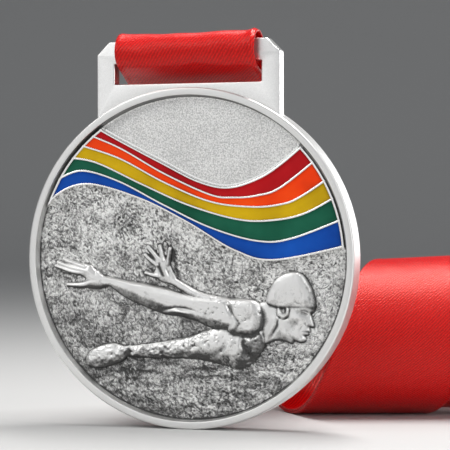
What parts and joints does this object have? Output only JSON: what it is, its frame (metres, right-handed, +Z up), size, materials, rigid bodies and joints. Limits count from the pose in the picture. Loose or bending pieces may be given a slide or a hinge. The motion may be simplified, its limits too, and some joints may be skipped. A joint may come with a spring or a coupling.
{
  "type": "sports finisher medal",
  "caption": "Round silver finisher medal with a swimmer relief and a striped enamel wave, on a slotted hanger with a rolled red satin ribbon.",
  "frame": {"origin": "bottom centre of the whole object's box, on the surface it stands on", "axes": "+Z up, the medal's face looks along -Y, +X to the right along the medal's face"},
  "size_m": [0.1012, 0.0692, 0.0813],
  "materials": {
    "satin_metal": "satin silver-plated zinc casting",
    "sandblasted_metal": "sandblasted silver",
    "cast_water_metal": "antiqued silver with a rippled water texture",
    "relief_metal": "antiqued silver, worn bright on the high parts",
    "bright_wall_metal": "polished silver walls",
    "red_enamel": "soft enamel, glossy",
    "orange_enamel": "soft enamel, glossy",
    "yellow_enamel": "soft enamel, glossy",
    "green_enamel": "soft enamel, glossy",
    "blue_enamel": "soft enamel, glossy",
    "red_satin": "polyester satin with a fine diagonal twill",
    "red_thread": "sewing thread"
  },
  "bodies": {
    "medal": {"disc": "satin_metal", "ribbon_hanger": "satin_metal", "upper_field": "sandblasted_metal", "water_field": "cast_water_metal", "swimmer_relief": "relief_metal", "band_frame": "bright_wall_metal", "enamel_red": "red_enamel", "enamel_orange": "orange_enamel", "enamel_yellow": "yellow_enamel", "enamel_green": "green_enamel", "enamel_blue": "blue_enamel"},
    "ribbon": {"ribbon_bar_loop": "red_satin", "ribbon_drop": "red_satin", "ribbon_roll": "red_satin", "ribbon_seam": "red_thread"}
  },
  "joints": [
    {"name": "ribbon_swing", "type": "hinge", "parent": "medal", "child": "ribbon", "pos_m": [-0.01561, -0.03071, 0.0774], "axis": [1, 0, 0], "range_deg": [0, 270]}
  ]
}
